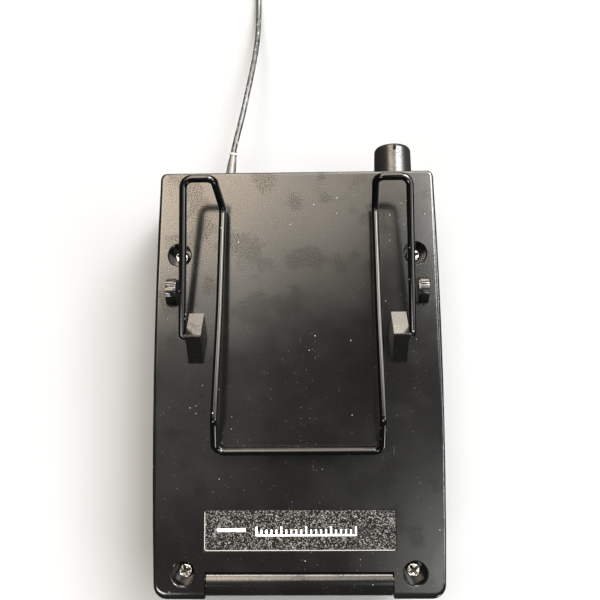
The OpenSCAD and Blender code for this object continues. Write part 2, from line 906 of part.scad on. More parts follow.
back_case();
front_case();
top_panel();
case_screws();
belt_clip();
label_plate();
battery_door();
hinge_pin();
door_latch();
door_pad();
link_contact();
link_spring();
battery_tray();
battery_cell_left();
battery_cell_right();
tray_contacts();
tray_spring();
battery_wires();
main_board();
board_screws();
rf_shield();
board_chips();
lcd_module();
lcd_window();
key_set();
key_up();
key_down();
key_switches();
potentiometer_body();
potentiometer_shaft();
potentiometer_washer();
potentiometer_nut();
volume_knob();
jack_body();
jack_nut();
status_led();
antenna_ferrule();
antenna_boot();
antenna_lug();
antenna();
antenna_tip();
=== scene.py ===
"""Looks of a bodypack radio unit lying on its front face: camera, light, wire parts, print and materials."""

import math

import bpy
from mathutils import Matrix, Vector


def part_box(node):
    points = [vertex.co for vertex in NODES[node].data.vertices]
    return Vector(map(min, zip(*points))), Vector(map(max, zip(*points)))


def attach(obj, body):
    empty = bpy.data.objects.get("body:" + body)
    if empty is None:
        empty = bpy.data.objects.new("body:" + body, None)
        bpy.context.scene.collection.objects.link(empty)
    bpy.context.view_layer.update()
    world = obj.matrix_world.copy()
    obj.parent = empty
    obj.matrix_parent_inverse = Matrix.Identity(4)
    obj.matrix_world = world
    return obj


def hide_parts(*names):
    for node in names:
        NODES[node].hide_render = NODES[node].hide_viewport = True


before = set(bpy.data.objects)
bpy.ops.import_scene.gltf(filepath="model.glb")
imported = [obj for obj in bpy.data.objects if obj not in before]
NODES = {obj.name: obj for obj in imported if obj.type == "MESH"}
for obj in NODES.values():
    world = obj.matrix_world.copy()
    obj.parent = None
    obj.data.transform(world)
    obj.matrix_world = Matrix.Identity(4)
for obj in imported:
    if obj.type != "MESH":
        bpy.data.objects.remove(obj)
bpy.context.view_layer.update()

MM = 0.001


def mm(*values):
    """A point given in millimetres, in metres."""
    return Vector(values) * MM


# ---------- camera and floor ----------

# Where the camera is, in millimetres, and how it is turned, in degrees
CAMERA_PLACE = (3.17, 0.34, 170.2)
CAMERA_TURN = (6.67, 1.05, -0.41)
# Half the floor's width, in metres
FLOOR_HALF = 3.0


def add_camera():
    """The camera looks down on the back of the case from about 15 cm above it."""
    camera = bpy.data.cameras.new("camera")
    camera.lens = 39
    camera.sensor_width = 36
    camera.clip_start = 0.01
    camera.clip_end = 20
    obj = bpy.data.objects.new("camera", camera)
    obj.location = mm(*CAMERA_PLACE)
    obj.rotation_euler = [math.radians(angle) for angle in CAMERA_TURN]
    bpy.context.scene.collection.objects.link(obj)
    bpy.context.scene.camera = obj


def add_floor():
    """A plain pale floor. It is hidden from mirror reflections, so the glossy pieces don't show it."""
    mesh = bpy.data.meshes.new("floor")
    corners = [(x * FLOOR_HALF, y * FLOOR_HALF, 0) for x, y in ((-1, -1), (1, -1), (1, 1), (-1, 1))]
    mesh.from_pydata(corners, [], [(0, 1, 2, 3)])
    obj = bpy.data.objects.new("floor", mesh)
    obj.visible_glossy = False
    bpy.context.scene.collection.objects.link(obj)
    return obj


# Light panels: degrees to the right and towards the antenna from overhead, half angles in degrees of the
# even middle and of the soft edge, colour, strength
PANELS = [
    ((-18, 24), 2, 18, (1.0, 0.77, 0.58), 7.6),
    ((-4, 24), 2, 18, (1.0, 0.89, 0.73), 4.5),
    ((26, 24), 2, 18, (1.0, 0.99, 0.90), 10.5),
    ((24, 23), 1, 8, (1.0, 1.0, 0.96), 22.0),
    ((-22, 12), 1, 12, (1.0, 0.94, 0.76), 7.5),
    ((22, 13), 2, 14, (1.0, 1.0, 0.96), 10.5),
    ((-1, 13), 1, 10, (1.0, 0.96, 0.84), 1.4),
    ((-9, 8), 1, 7, (1.0, 0.94, 0.86), 3.0),
    ((-12, -4), 2, 11, (1.0, 0.97, 0.9), 0.5),
    ((8, -10), 2, 9, (1.0, 1.0, 1.0), 0.35),
    ((20, -20), 2, 16, (1.0, 1.0, 0.95), 3.2),
    ((-30, -31), 2, 7, (1.0, 1.0, 0.97), 16.0),
    ((-21, -31), 2, 7, (1.0, 1.0, 0.97), 20.0),
    ((40, 42), 5, 15, (1.0, 1.0, 1.0), 46.0),
    ((50, 22), 4, 16, (1.0, 1.0, 0.97), 10.0),
    ((54, 0), 4, 18, (1.0, 1.0, 1.0), 3.0),
    ((77, -83), 2, 9, (1.0, 1.0, 1.0), 14.0),
    ((52, -18), 3, 13, (1.0, 1.0, 1.0), 9.0),
    ((-21, 48), 3, 13, (1.0, 0.94, 0.86), 12.0),
    ((0, 47), 3, 13, (1.0, 0.96, 0.88), 12.0),
    ((21, 48), 3, 13, (1.0, 0.97, 0.9), 12.0),
    ((-47, 81), 3, 12, (1.0, 0.86, 0.72), 10.5),
    ((40, 81), 3, 12, (1.0, 0.9, 0.78), 13.0),
]
# Light that comes from everywhere else
ROOM = (0.08, 0.08, 0.08)


def panel_direction(right, up):
    """The direction that leans from overhead by two angles in degrees, towards +X and towards +Y."""
    across, along = (math.tan(math.radians(angle)) for angle in (right, up))
    return Vector((across, along, 1)).normalized()


def add_light():
    """A dim room with soft panels of light, drawn into the world."""
    world = bpy.data.worlds.new("studio")
    bpy.context.scene.world = world
    world.use_nodes = True
    tree = world.node_tree
    background = tree.nodes["Background"]
    where = tree.nodes.new("ShaderNodeTexCoord").outputs["Generated"]
    total = None
    for lean, middle, edge, colour, strength in PANELS:
        facing = tree.nodes.new("ShaderNodeVectorMath")
        facing.operation = "DOT_PRODUCT"
        facing.inputs[1].default_value = panel_direction(*lean)
        tree.links.new(where, facing.inputs[0])
        patch = tree.nodes.new("ShaderNodeMapRange")
        patch.interpolation_type = "SMOOTHSTEP"
        patch.inputs["From Min"].default_value = math.cos(math.radians(edge))
        patch.inputs["From Max"].default_value = math.cos(math.radians(middle))
        tree.links.new(facing.outputs["Value"], patch.inputs["Value"])
        add = tree.nodes.new("ShaderNodeVectorMath")
        add.operation = "MULTIPLY_ADD"
        add.inputs[0].default_value = [c * strength for c in colour]
        tree.links.new(patch.outputs["Result"], add.inputs[1])
        if total is None:
            add.inputs[2].default_value = ROOM
        else:
            tree.links.new(total, add.inputs[2])
        total = add.outputs["Vector"]
    tree.links.new(total, background.inputs["Color"])
    bpy.context.scene.view_settings.view_transform = "Standard"


# ---------- mesh helpers ----------

def add_mesh(name, points, faces, smooth=False):
    """A mesh object in the scene, from points in metres."""
    mesh = bpy.data.meshes.new(name)
    mesh.from_pydata([tuple(p) for p in points], [], faces)
    mesh.validate()
    if smooth:
        mesh.polygons.foreach_set("use_smooth", [True] * len(mesh.polygons))
    obj = bpy.data.objects.new(name, mesh)
    bpy.context.scene.collection.objects.link(obj)
    return obj


def ring_angles(sectors):
    """Evenly spread angles round a ring."""
    return [2 * math.pi * k / sectors for k in range(sectors)]


def fillet(a, b, c, radius, steps):
    """Points on the arc that rounds corner b between a and c."""
    u = (b - a).normalized()
    v = (c - b).normalized()
    turn = u.angle(v)
    inward = (v - u * u.dot(v)).normalized()
    start = b - u * radius * math.tan(turn / 2)
    centre = start + inward * radius
    angles = [turn * i / steps for i in range(steps + 1)]
    return [centre + radius * (math.sin(t) * u - math.cos(t) * inward) for t in angles]


def rounded_path(corners, radii, steps):
    """A polyline with each inner corner rounded by its own radius."""
    path = [corners[0]]
    for i, radius in enumerate(radii):
        path += fillet(*corners[i:i + 3], radius, steps)
    return path + [corners[-1]]


# Where the rings of a tube's rounded end lie, as shares of its length
DOME_SHARES = (0.35, 0.7, 0.95)


def dome_rings(end, before, radius, dome):
    """Centres and radii of the rings that round off a tube past its end."""
    way = (end - before).normalized()
    return [(end + way * dome * s, radius * math.sqrt(1 - s * s)) for s in DOME_SHARES]


def tube(name, path, radius, sides, dome=0.0):
    """A round tube along a path, with ends that round off over the length dome."""
    stations = [(p, radius) for p in path]
    if dome:
        lead = dome_rings(path[0], path[1], radius, dome)
        tail = dome_rings(path[-1], path[-2], radius, dome)
        stations = lead[::-1] + stations + tail
    centres = [p for p, _ in stations]
    normal = None
    points = []
    for i, (centre, r) in enumerate(stations):
        way = (centres[min(i + 1, len(centres) - 1)] - centres[max(i - 1, 0)]).normalized()
        normal = normal or way.orthogonal()
        normal = (normal - way * way.dot(normal)).normalized()
        across = way.cross(normal)
        for a in ring_angles(sides):
            points.append(centre + r * (math.cos(a) * normal + math.sin(a) * across))
    last_row = (len(stations) - 1) * sides
    faces = []
    for row in range(0, last_row, sides):
        for k in range(sides):
            after = (k + 1) % sides
            faces.append((row + k, row + after, row + sides + after, row + sides + k))
    faces.append(tuple(range(sides - 1, -1, -1)))
    faces.append(tuple(last_row + k for k in range(sides)))
    return add_mesh(name, points, faces, smooth=True)


# ---------- antenna ----------

# The wire's centre line from its sleeve to its moulded tip, in millimetres, as the CAD route has it
ANTENNA_ROUTE = [
    (-16.1, 56.2, 12), (-15.95, 57.4, 12), (-15.5, 59.4, 11.95), (-14.9, 62, 11.8),
    (-14.2, 65.2, 11.5), (-13.5, 68.8, 10.9), (-12.85, 72.8, 10.1), (-12.2, 76.9, 9),
    (-11.6, 81.3, 7.6), (-11.1, 85.8, 6), (-10.75, 90.3, 4.3), (-10.6, 95, 2.75),
    (-10.55, 99.5, 1.55), (-10.6, 104, 0.95), (-10.7, 108.5, 0.73), (-11, 113, 0.72),
    (-11.5, 117.5, 0.72), (-12.2, 122, 0.72), (-13.1, 126.5, 0.72), (-14.1, 131, 0.72),
    (-15.2, 135.5, 0.72), (-16.4, 139.9, 0.72), (-17.6, 144.3, 0.72), (-18.9, 148.7, 0.72),
    (-20.2, 153.1, 0.72), (-21.5, 157.5, 0.72),
]
# In metres
ANTENNA_D = 0.0014


def flowing_path(points, steps):
    """A smooth line through points, with steps pieces between each two (Catmull-Rom)."""
    ends = [2 * points[0] - points[1]] + points + [2 * points[-1] - points[-2]]
    path = []
    for a, b, c, d in zip(ends, ends[1:], ends[2:], ends[3:]):
        for i in range(steps):
            t = i / steps
            path.append(0.5 * (2 * b + (c - a) * t + (2 * a - 5 * b + 4 * c - d) * t * t
                               + (3 * b - a - 3 * c + d) * t ** 3))
    return path + [points[-1]]


def add_antenna():
    """The thin flexible antenna wire."""
    path = flowing_path([mm(*p) for p in ANTENNA_ROUTE], 4)
    obj = tube("antenna_wire", path, ANTENNA_D / 2, 20)
    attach(obj, "case")
    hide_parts("antenna")
    return obj


# ---------- belt clip ----------

# Corners of the right half of the wire, as the CAD wire has them: x, y, z and sideways lean, in millimetres
CLIP_CORNERS = [
    (21.85, 9.1, 26.8, 0), (25.5, 9.1, 26.8, 0), (24.1, 42.3, 36, 0.183), (17.3, 42.3, 36, -0.183),
    (17.1, 37.9, 27.5, 0.55), (17.35, 14, 29.2, 0.44), (17.95, -9, 31, 0.248), (18.3, -15.9, 26.3, 0.11),
    (0, -15.9, 26.3, 0),
]
# Radius of the bend at each inner corner, and of the wire, in millimetres
CLIP_BENDS = [0.88, 2, 1.7, 2, 400, 2.5, 2]
CLIP_RADIUS = 0.83
CLIP_DOME = 0.25


def add_clip():
    """The bent spring wire of the belt clip, drawn smoothly round the corners that the CAD wire has."""
    halves = []
    for side in (1, -1):
        corners = [mm(side * x + lean, y, z) for x, y, z, lean in CLIP_CORNERS]
        halves.append(rounded_path(corners, [bend * MM for bend in CLIP_BENDS], 12))
    right, left = halves
    obj = tube("clip_wire", right + left[-2::-1], CLIP_RADIUS * MM, 32, dome=CLIP_DOME * MM)
    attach(obj, "clip")
    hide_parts("belt_clip")
    return obj


# ---------- case screws ----------

# Centres of the right-hand screws in millimetres, as the CAD case has them, and how each cross is turned
SCREW_SPOTS = [((26.9, 28), (20, 65)), ((25.1, -42.1), (38, 22))]
# Shape of one screw, in millimetres
HEAD_RADIUS = 1.6
HEAD_HEIGHT = 1.3
HEAD_CROWN = 0.03
RIM_START = 1.05
RIM_DROP = 0.45
SHANK_RADIUS = 0.95
SHANK_TAPER = 1.0
SHANK_END_RADIUS = 0.15
CROSS_REACH = 1.25
CROSS_HALF_WIDTH = 0.27
CROSS_DEPTH = 0.8
CROSS_SIDE_SLOPE = 0.12
CROSS_END_SLOPE = 0.2
# How much shallower the cross is at its tips
CROSS_RISE = 0.45


def ease(value):
    """0 below 0, 1 above 1 and smooth between."""
    value = min(max(value, 0.0), 1.0)
    return value * value * (3 - 2 * value)


def head_height(x, y):
    """Height of a domed screw head with a cross recess, in millimetres above its seat."""
    r = math.hypot(x, y)
    edge = min(max((r - RIM_START) / (HEAD_RADIUS - RIM_START), 0.0), 1.0)
    crown = HEAD_CROWN * (r / HEAD_RADIUS) ** 2
    rim = RIM_DROP * (1 - math.sqrt(1 - edge ** 2))
    cut = 0.0
    for along, across in ((abs(x), abs(y)), (abs(y), abs(x))):
        inside = ease((CROSS_HALF_WIDTH + CROSS_SIDE_SLOPE / 2 - across) / CROSS_SIDE_SLOPE)
        inside *= ease((CROSS_REACH - along) / CROSS_END_SLOPE)
        cut = max(cut, inside * CROSS_DEPTH * (1 - CROSS_RISE * along / CROSS_REACH))
    return HEAD_HEIGHT - crown - rim - cut


def add_screw(points, faces, x, y, turn, seat, tip):
    """Add one screw's rings and faces: its head from the middle outwards, then its shank down to the tip."""
    sectors, rings = 72, 22
    shape = []
    for i in range(1, rings + 1):
        r = HEAD_RADIUS * i / rings
        shape.append([(r, head_height(r * math.cos(a), r * math.sin(a))) for a in ring_angles(sectors)])
    below = [(HEAD_RADIUS, 0.0), (SHANK_RADIUS, 0.0), (SHANK_RADIUS, tip + SHANK_TAPER - seat),
             (SHANK_END_RADIUS, tip - seat)]
    shape += [[spot] * sectors for spot in below]
    first = len(points)
    points.append(mm(x, y, seat + head_height(0, 0)))
    for ring in shape:
        for a, (r, z) in zip(ring_angles(sectors), ring):
            a += math.radians(turn)
            points.append(mm(x + r * math.cos(a), y + r * math.sin(a), seat + z))
    for k in range(sectors):
        after = (k + 1) % sectors
        faces.append((first, first + 1 + k, first + 1 + after))
        for i in range(len(shape) - 1):
            row = first + 1 + i * sectors
            faces.append((row + k, row + sectors + k, row + sectors + after, row + after))
    last_row = first + 1 + (len(shape) - 1) * sectors
    faces.append(tuple(last_row + k for k in range(sectors - 1, -1, -1)))


def add_screws():
    """Four pan-head screws with domed heads and cross recesses."""
    low, high = (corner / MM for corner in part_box("case_screws"))
    points, faces = [], []
    for (x, y), turns in SCREW_SPOTS:
        for side, turn in zip((1, -1), turns):
            add_screw(points, faces, side * x, y, turn, high.z - HEAD_HEIGHT, low.z)
    obj = add_mesh("screw_set", points, faces, smooth=True)
    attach(obj, "case")
    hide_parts("case_screws")
    return obj


# ---------- print ----------

def plates(name, rectangles, low, high):
    """Thin plates from height low to high, one for each rectangle (x0, y0, x1, y1), in millimetres."""
    points, faces = [], []
    for x0, y0, x1, y1 in rectangles:
        n = len(points)
        for z in (low, high):
            points += [mm(x0, y0, z), mm(x1, y0, z), mm(x1, y1, z), mm(x0, y1, z)]
        faces += [(n + 3, n + 2, n + 1, n), (n + 4, n + 5, n + 6, n + 7)]
        faces += [(n + k, n + (k + 1) % 4, n + 4 + (k + 1) % 4, n + 4 + k) for k in range(4)]
    return add_mesh(name, points, faces)


# The label's print, in millimetres: a bar, and a scale of ticks of which every fifth is long
BAR_LENGTH = 6.2
BAR_HALF_HEIGHT = 0.35
TICKS = 21
TICK_PITCH = 1.08
TICK_HALF_WIDTH = 0.17
LONG_TICK = 1.7
SHORT_TICK = 1.05
SCALE_LINE = 0.3


def add_label_print():
    """A plain bar and a tick scale in white ink on the label."""
    low, high = (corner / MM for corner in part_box("label_plate"))
    middle_y = (low.y + high.y) / 2 + 0.15
    foot = middle_y - 1.0
    left = low.x + 2.8
    start = left + 8.6
    end = start + (TICKS - 1) * TICK_PITCH
    rectangles = [(left, middle_y - BAR_HALF_HEIGHT, left + BAR_LENGTH, middle_y + BAR_HALF_HEIGHT)]
    for i in range(TICKS):
        x = start + i * TICK_PITCH
        tall = SHORT_TICK if i % 5 else LONG_TICK
        rectangles.append((x - TICK_HALF_WIDTH, foot, x + TICK_HALF_WIDTH, foot + tall))
    rectangles.append((start - TICK_HALF_WIDTH, foot - SCALE_LINE, end + TICK_HALF_WIDTH, foot))
    obj = plates("label_print", rectangles, high.z - 0.01, high.z + 0.025)
    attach(obj, "case")
    return obj


def add_display():
    """Dark segments of the display: a battery sign, level bars and an empty frame."""
    low, high = (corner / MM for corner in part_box("lcd_module"))
    middle_y = (low.y + high.y) / 2
    line = 0.22
    rectangles = []

    def outline(x0, y0, x1, y1):
        rectangles.extend([(x0, y0, x1, y0 + line), (x0, y1 - line, x1, y1)])
        inner_low, inner_high = y0 + line, y1 - line
        rectangles.extend([(x0, inner_low, x0 + line, inner_high), (x1 - line, inner_low, x1, inner_high)])

    outline(-11.5, middle_y + 1.6, -6.5, middle_y + 4.4)
    rectangles.append((-6.5, middle_y + 2.4, -5.9, middle_y + 3.6))
    for i in range(3):
        rectangles.append((-11 + 1.5 * i, middle_y + 2.1, -9.9 + 1.5 * i, middle_y + 3.9))
    for i in range(8):
        top = middle_y - 3.3 + 0.95 * i
        rectangles.append((-1.5 + 1.6 * i, middle_y - 4, -0.5 + 1.6 * i, top))
    outline(-11.5, middle_y - 4.2, -4, middle_y + 0.2)
    obj = plates("lcd_segments", rectangles, low.z - 0.05, low.z + 0.01)
    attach(obj, "case")
    return obj


def add_key_mark(node, corners):
    """A thin printed sign in the middle of a key cap: a plate whose outline has the given corners."""
    low, high = (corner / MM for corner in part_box(node))
    x, y = (low.x + high.x) / 2, (low.y + high.y) / 2
    levels = (low.z - 0.03, low.z + 0.01)
    points = [mm(x + u, y + v, z) for z in levels for u, v in corners]
    n = len(corners)
    faces = [tuple(range(n - 1, -1, -1)), tuple(range(n, 2 * n))]
    faces += [(k, (k + 1) % n, n + (k + 1) % n, n + k) for k in range(n)]
    obj = add_mesh(node + "_mark", points, faces)
    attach(obj, node)
    return obj


# Signs on the keys, in millimetres from a key's middle
ARROW = [(-1.1, -0.7), (1.1, -0.7), (0, 0.95)]
DOT_RADIUS = 0.75
DOT = [(DOT_RADIUS * math.cos(a), DOT_RADIUS * math.sin(a)) for a in ring_angles(30)]

add_camera()
antenna_wire = add_antenna()
floor = add_floor()
add_light()
clip_wire = add_clip()
screw_set = add_screws()
label_print = add_label_print()
lcd_segments = add_display()
key_marks = [
    add_key_mark("key_up", ARROW),
    add_key_mark("key_set", DOT),
    add_key_mark("key_down", [(u, -v) for u, v in ARROW[::-1]]),
]


# ---------- materials ----------

class Finish:
    """One node material, with short calls for the nodes that build it. Patterns lie in millimetres."""

    def __init__(self, name, colour, roughness, **settings):
        self.material = bpy.data.materials.new(name)
        self.material.use_nodes = True
        self.tree = self.material.node_tree
        self.shader = self.tree.nodes["Principled BSDF"]
        self.shader.inputs["Base Color"].default_value = (*colour, 1)
        self.shader.inputs["Roughness"].default_value = roughness
        for socket, value in settings.items():
            self.shader.inputs[socket.replace("_", " ")].default_value = value
        coordinates = self.tree.nodes.new("ShaderNodeTexCoord").outputs["Object"]
        scaled = self.tree.nodes.new("ShaderNodeVectorMath")
        scaled.operation = "SCALE"
        scaled.inputs["Scale"].default_value = 1 / MM
        self.tree.links.new(coordinates, scaled.inputs[0])
        self.place = scaled.outputs["Vector"]

    def node(self, kind, inputs, **settings):
        """A new node. A number or colour in inputs is set, and a socket is linked."""
        made = self.tree.nodes.new(kind)
        for name, value in settings.items():
            setattr(made, name, value)
        for name, value in inputs.items():
            socket = made.inputs[name]
            if isinstance(value, bpy.types.NodeSocket):
                self.tree.links.new(value, socket)
            else:
                socket.default_value = value
        return made

    def noise(self, scale, detail=3, stretch=(1, 1, 1)):
        """Noise with about scale blobs in a millimetre, stretched along the axes with a small factor."""
        place = self.place
        if stretch != (1, 1, 1):
            inputs = {0: place, 1: stretch}
            place = self.node("ShaderNodeVectorMath", inputs, operation="MULTIPLY").outputs[0]
        inputs = {"Vector": place, "Scale": scale, "Detail": detail}
        return self.node("ShaderNodeTexNoise", inputs).outputs["Fac"]

    def cells(self, scale):
        """Distance from the nearest of many scattered points, and a random number for that point."""
        made = self.node("ShaderNodeTexVoronoi", {"Vector": self.place, "Scale": scale})
        split = self.node("ShaderNodeSeparateColor", {"Color": made.outputs["Color"]})
        return made.outputs["Distance"], split.outputs[0]

    def span(self, value, low, high, to_low=0.0, to_high=1.0, smooth=True):
        """value, mapped from low..high to to_low..to_high and kept inside."""
        inputs = {"Value": value, "From Min": low, "From Max": high}
        inputs.update({"To Min": to_low, "To Max": to_high})
        kind = "SMOOTHSTEP" if smooth else "LINEAR"
        return self.node("ShaderNodeMapRange", inputs, interpolation_type=kind).outputs["Result"]

    def maths(self, operation, a, b):
        return self.node("ShaderNodeMath", {0: a, 1: b}, operation=operation).outputs[0]

    def dots(self, scale, radius, chance):
        """Small scattered dots: radius and chance each give where a dot is full and where it has faded."""
        distance, pick = self.cells(scale)
        return self.maths("MULTIPLY", self.span(distance, *radius), self.span(pick, *chance))

    def mix(self, share, a, b):
        """Colour a where the socket share is 0 and b where it is 1."""
        made = self.tree.nodes.new("ShaderNodeMix")
        made.data_type = "RGBA"
        for index, value in ((0, share), (6, a), (7, b)):
            if isinstance(value, bpy.types.NodeSocket):
                self.tree.links.new(value, made.inputs[index])
            else:
                made.inputs[index].default_value = (*value, 1)
        return made.outputs[2]

    def colour(self, socket):
        self.tree.links.new(socket, self.shader.inputs["Base Color"])

    def roughness(self, socket):
        self.tree.links.new(socket, self.shader.inputs["Roughness"])

    def bump(self, *layers):
        """Relief from layers of (height socket, strength, height in millimetres), one on another."""
        normal = None
        for height, strength, distance in layers:
            inputs = {"Height": height, "Strength": strength, "Distance": distance * MM}
            if normal is not None:
                inputs["Normal"] = normal
            normal = self.node("ShaderNodeBump", inputs).outputs["Normal"]
        self.tree.links.new(normal, self.shader.inputs["Normal"])

    def axis(self, name):
        """One of the coordinates X, Y or Z, in millimetres."""
        return self.node("ShaderNodeSeparateXYZ", {0: self.place}).outputs[name]


def dusty_plastic(name, colour, roughness, dust=1.0, grain=1.0):
    """Moulded plastic with a fine grain, worn dull patches, dust specks and a few hairline scratches."""
    f = Finish(name, colour, roughness, IOR=1.58)
    grain_noise = f.noise(4.5, detail=2)
    patch = f.noise(0.14, detail=8)
    smudge = f.span(patch, 0.5, 0.72)
    worn = f.maths("MULTIPLY", f.span(patch, 0.47, 0.38), f.span(grain_noise, 0.42, 0.55))
    speck = f.maths("MULTIPLY", f.dots(0.75, (0.1, 0.05), (0.88, 0.93)), dust)
    mote = f.dots(1.5, (0.2, 0.1), (0.74, 0.86))
    mote = f.maths("MULTIPLY", mote, f.span(patch, 0.42, 0.62, 0.1 * dust, 0.55 * dust))
    scratch = f.span(f.noise(0.3, detail=2, stretch=(8, 0.5, 1)), 0.765, 0.785)
    lit = tuple(c + 0.003 * dust for c in colour)
    base = f.mix(f.maths("MULTIPLY", smudge, 0.35), colour, lit)
    base = f.mix(f.maths("MULTIPLY", scratch, 0.06), base, (0.3, 0.29, 0.27))
    base = f.mix(mote, base, (0.09, 0.088, 0.08))
    f.colour(f.mix(speck, base, (0.24, 0.235, 0.22)))
    shine = f.span(grain_noise, 0.3, 0.7, 0.5 + 0.14 * grain, 0.5 - 0.14 * grain)
    shine = f.maths("SUBTRACT", shine, f.maths("MULTIPLY", worn, 0.2 * grain))
    f.tree.links.new(shine, f.shader.inputs["Specular IOR Level"])
    rough = f.span(smudge, 0, 1, roughness, roughness + 0.015, smooth=False)
    f.roughness(f.maths("MAXIMUM", rough, f.maths("MULTIPLY", speck, 0.8)))
    waves = f.noise(0.8, detail=2)
    f.bump((waves, 0.05, 0.02), (grain_noise, 0.15 * grain, 0.02), (speck, 0.6, 0.03))
    return f.material


def coated_wire():
    """Glossy black coat, a little wavy, with a few worn bright nicks."""
    f = Finish("clip_wire", (0.001, 0.001, 0.001), 0.06, IOR=1.45)
    nick = f.dots(0.9, (0.16, 0.08), (0.86, 0.9))
    f.colour(f.mix(nick, (0.0012, 0.0012, 0.0012), (0.35, 0.33, 0.3)))
    f.roughness(f.span(f.noise(0.8), 0.3, 0.7, 0.05, 0.12))
    f.bump((f.noise(0.7, detail=1), 0.25, 0.03), (f.noise(5, detail=2), 0.06, 0.01))
    return f.material


def metal(name, colour, roughness, brushed=(1, 1, 1), stain=0.3):
    """Metal with faint machining lines and uneven tarnish."""
    f = Finish(name, colour, roughness, Metallic=1.0)
    lines = f.noise(6, detail=3, stretch=brushed)
    patch = f.noise(0.5, detail=4)
    dull = tuple(c * (1 - stain) for c in colour)
    f.colour(f.mix(f.span(patch, 0.35, 0.75), colour, dull))
    f.roughness(f.span(lines, 0.3, 0.7, roughness * 0.75, roughness * 1.35))
    f.bump((lines, 0.12, 0.01))
    return f.material


def head_steel():
    """Bright plated heads, with painted shade in the cross recesses."""
    f = Finish("head_steel", (0.6, 0.58, 0.54), 0.14, Metallic=1.0)
    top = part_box("case_screws")[1].z / MM
    # Painted shade: the colour goes nearly black from 0.2 to 0.62 mm below the top of the heads, filling the
    # cross recesses and the lower rim.
    recess_shade = f.span(f.axis("Z"), top - 0.62, top - 0.2, 1.0, 0.0)
    wear = f.span(f.noise(3, detail=3), 0.4, 0.7)
    plating = f.mix(wear, (0.62, 0.6, 0.56), (0.4, 0.38, 0.34))
    f.colour(f.mix(recess_shade, plating, (0.02, 0.018, 0.015)))
    f.roughness(f.span(f.noise(2.2), 0.3, 0.7, 0.1, 0.28))
    f.bump((f.noise(2.5, detail=2), 0.3, 0.03))
    return f.material


def grained_label():
    """Black film with a fine sparkling grain, and painted highlight lines along its left and lower sides."""
    f = Finish("label", (0.02, 0.02, 0.021), 0.35, Specular_IOR_Level=0.2)
    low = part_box("label_plate")[0] / MM
    # Painted highlight: masks for thin pale lines along the left and lower edges, where the light catches.
    left = f.span(f.axis("X"), low.x + 0.12, low.x + 0.2, 1.0, 0.0)
    bottom = f.span(f.axis("Y"), low.y + 0.12, low.y + 0.2, 1.0, 0.0)
    grain = f.noise(4.0, detail=2)
    mottle = f.span(f.noise(0.5), 0.3, 0.7, 0.5, 1.0)
    speckle = f.maths("MULTIPLY", f.span(grain, 0.52, 0.64), mottle)
    base = f.mix(speckle, (0.001, 0.001, 0.001), (0.155, 0.151, 0.144))
    # The painted highlight lines along the left and lower edges take a pale grey.
    f.colour(f.mix(f.maths("MAXIMUM", left, bottom), base, (0.3, 0.295, 0.28)))
    f.roughness(f.span(grain, 0.3, 0.7, 0.25, 0.45))
    f.bump((grain, 0.8, 0.07))
    return f.material


def white_ink():
    """White print, thin in places."""
    f = Finish("label_ink", (0.85, 0.85, 0.84), 0.5)
    thin = f.noise(5, detail=3)
    f.colour(f.mix(f.span(thin, 0.55, 0.8), (0.88, 0.88, 0.87), (0.6, 0.6, 0.59)))
    f.bump((thin, 0.2, 0.01))
    return f.material


def soft_plastic(name, colour, roughness, contrast=0.35, scale=1.5, relief=0.1):
    """Plain soft or moulded material with mottled colour and a fine relief."""
    f = Finish(name, colour, roughness)
    mottle = f.noise(scale, detail=5)
    darker = tuple(c * (1 - contrast) for c in colour)
    f.colour(f.mix(f.span(mottle, 0.3, 0.7), darker, colour))
    f.roughness(f.span(mottle, 0.3, 0.7, roughness * 0.9, min(roughness * 1.15, 1.0)))
    f.bump((f.noise(scale * 3, detail=3), relief, 0.03))
    return f.material


def antenna_plastic():
    """Dark grey sleeve with a slightly lumpy surface and pale scuffs along it."""
    f = Finish("antenna_plastic", (0.03, 0.03, 0.03), 0.3)
    lumps = f.noise(0.9, detail=2)
    scuff = f.span(f.noise(1.6, detail=4, stretch=(1.6, 0.45, 1)), 0.6, 0.7)
    body = f.mix(f.span(f.noise(0.5), 0.4, 0.65), (0.018, 0.0175, 0.017), (0.05, 0.049, 0.047))
    f.colour(f.mix(scuff, body, (0.28, 0.275, 0.265)))
    f.roughness(f.span(lumps, 0.3, 0.7, 0.25, 0.4))
    f.bump((lumps, 0.4, 0.05), (scuff, 0.3, 0.02))
    return f.material


def antenna_sleeve():
    """Pale cloudy shrink sleeve at the antenna's foot."""
    f = Finish("antenna_sleeve", (0.1, 0.095, 0.09), 0.3)
    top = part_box("antenna_boot")[1].y / MM
    cloudy = f.noise(0.8, detail=4, stretch=(1.5, 0.4, 1))
    # Paler over the last half millimetre below the top end, fading in over the 0.3 mm before it.
    pale_top_band = f.span(f.axis("Y"), top - 0.8, top - 0.5)
    body = f.mix(f.span(cloudy, 0.35, 0.7), (0.045, 0.042, 0.039), (0.1, 0.095, 0.09))
    f.colour(f.mix(pale_top_band, body, (0.3, 0.295, 0.285)))
    f.roughness(f.span(cloudy, 0.3, 0.7, 0.25, 0.4))
    f.bump((f.noise(1.2, detail=2), 0.3, 0.05))
    return f.material


def circuit_board():
    """Green solder mask over tracks, with tinned pads."""
    f = Finish("board", (0.01, 0.09, 0.035), 0.3)
    tracks = f.node("ShaderNodeTexBrick", {"Vector": f.place, "Scale": 0.42, "Mortar Size": 0.09},
                    offset=0.37, squash=1.6).outputs["Fac"]
    pad = f.dots(0.7, (0.2, 0.17), (0.7, 0.72))
    mask = f.mix(tracks, (0.006, 0.07, 0.026), (0.02, 0.16, 0.06))
    f.colour(f.mix(pad, mask, (0.72, 0.7, 0.64)))
    f.roughness(f.span(f.noise(2), 0.3, 0.7, 0.22, 0.4))
    f.bump((tracks, 0.3, 0.04), (pad, 0.5, 0.05))
    return f.material


